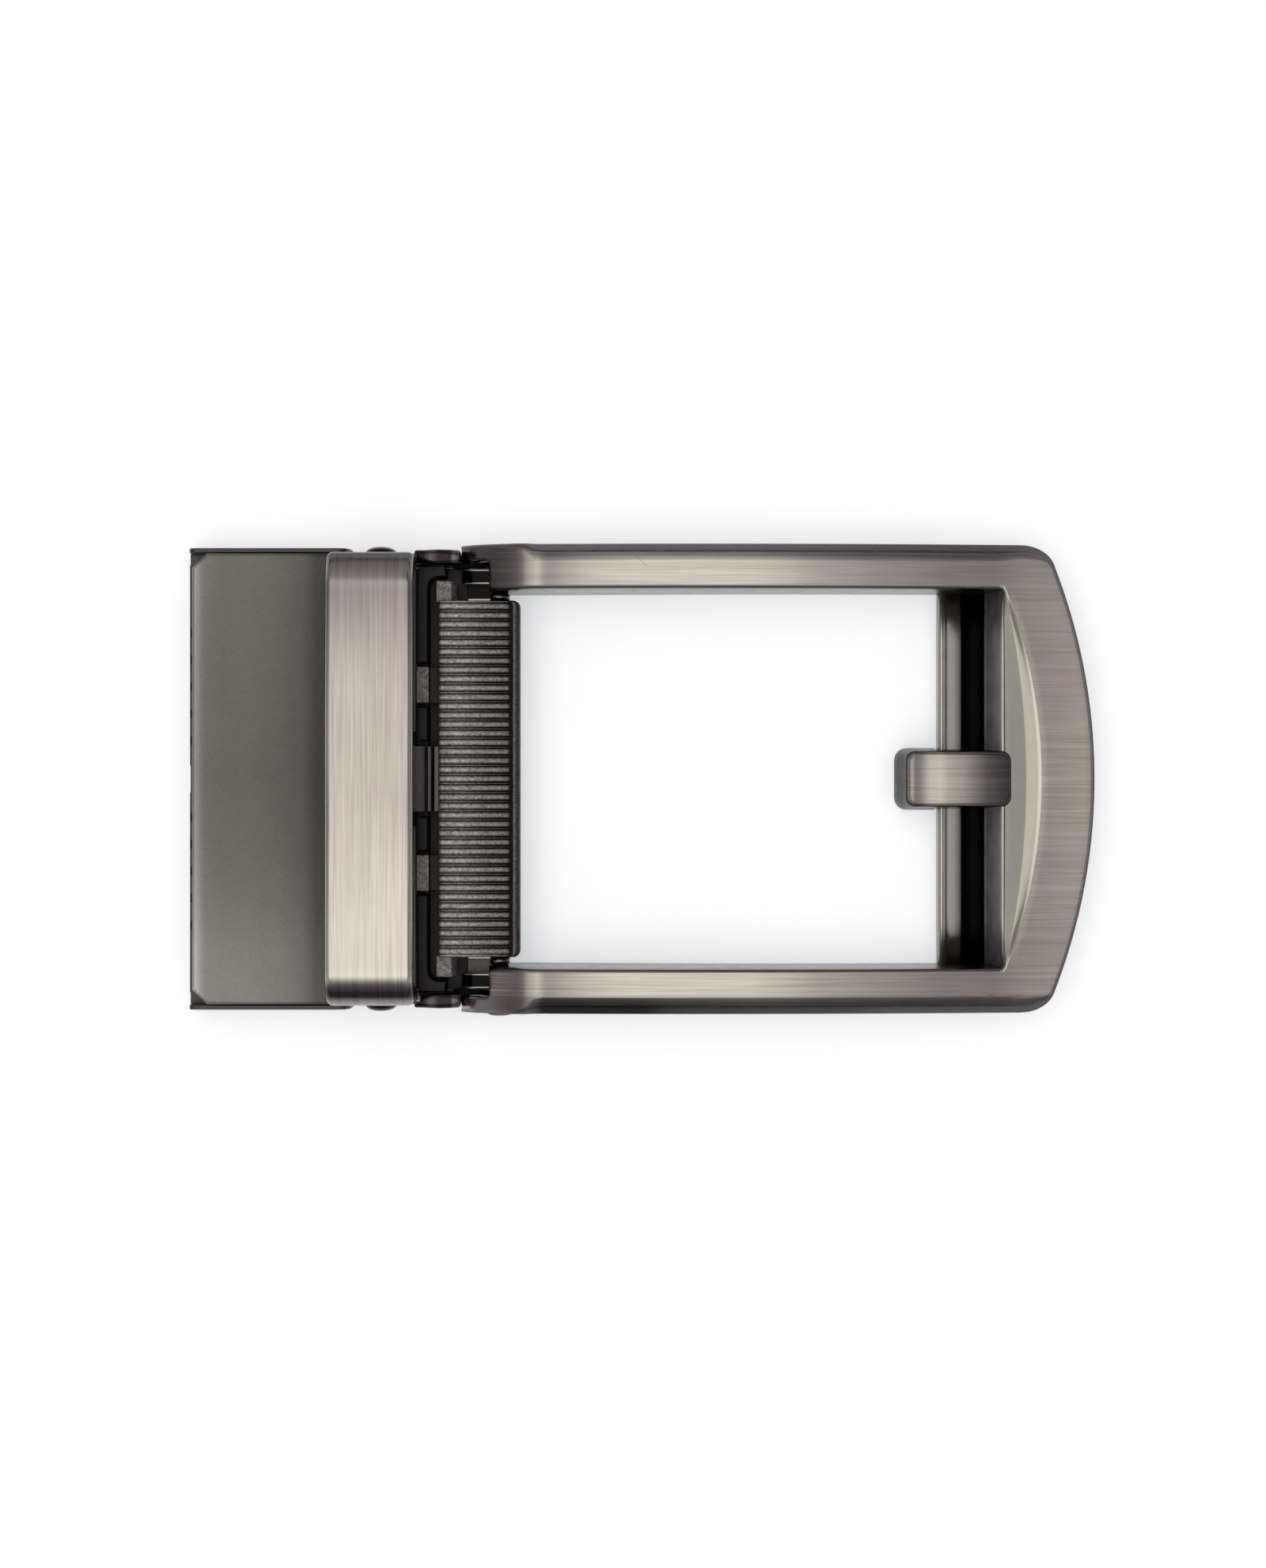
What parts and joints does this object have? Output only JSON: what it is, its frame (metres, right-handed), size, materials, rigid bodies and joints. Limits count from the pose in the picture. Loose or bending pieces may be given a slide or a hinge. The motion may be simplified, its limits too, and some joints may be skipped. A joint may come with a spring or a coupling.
{
  "type": "belt buckle",
  "caption": "Automatic ratchet belt buckle: hinged frame with a false prong, ribbed ratchet lever, keeper loop and a toothed rear clamp flap.",
  "frame": {"origin": "middle of the buckle's footprint, on the surface that its back rests on", "axes": "+X from the keeper loop towards the curved end of the frame, +Z out of the front face, +Y across the strap"},
  "size_m": [0.08, 0.042, 0.0113],
  "materials": {
    "satin_plate": "satin dark gunmetal plating",
    "brushed_loop": "brushed along Y, light gunmetal",
    "brushed_frame": "brushed along X, polished bevels, gunmetal",
    "polished_dark": "polished dark nickel",
    "dark_steel": "blackened pressed steel",
    "cast_grey": "as-cast grey with fine grain",
    "spring_wire": "bright spring wire"
  },
  "bodies": {
    "body": {"body_plate": "satin_plate", "keeper_loop": "brushed_loop", "clamp_rivet_upper": "polished_dark", "clamp_rivet_lower": "polished_dark", "lever_housing": "dark_steel", "lever_spring_upper": "spring_wire", "lever_spring_lower": "spring_wire", "hinge_pin": "polished_dark"},
    "clamp": {"clamp_flap": "dark_steel"},
    "upper_screw": {"set_screw_upper": "dark_steel"},
    "lower_screw": {"set_screw_lower": "dark_steel"},
    "lever": {"ratchet_lever": "cast_grey", "ratchet_tooth": "dark_steel"},
    "frame": {"buckle_frame": "brushed_frame", "false_prong": "brushed_frame"}
  },
  "joints": [
    {"name": "frame_lift", "type": "hinge", "parent": "body", "child": "frame", "pos_m": [-0.0123, 0, 0.0034], "axis": [0, -1, 0], "range_deg": [0, 45]},
    {"name": "lever_rock", "type": "hinge", "parent": "body", "child": "lever", "pos_m": [-0.0123, 0, 0.0034], "axis": [0, -1, 0], "range_deg": [0, 8], "stiffness_Nm_per_rad": 0.03, "springref_deg": -17.19},
    {"name": "clamp_open", "type": "hinge", "parent": "body", "child": "clamp", "pos_m": [-0.02285, 0, 0.0026], "axis": [0, -1, 0], "range_deg": [0, 75]},
    {"name": "upper_screw_travel", "type": "slide", "parent": "clamp", "child": "upper_screw", "axis": [0, 0, 1], "range_m": [0, 0.0012]},
    {"name": "lower_screw_travel", "type": "slide", "parent": "clamp", "child": "lower_screw", "axis": [0, 0, 1], "range_m": [0, 0.0012]}
  ]
}
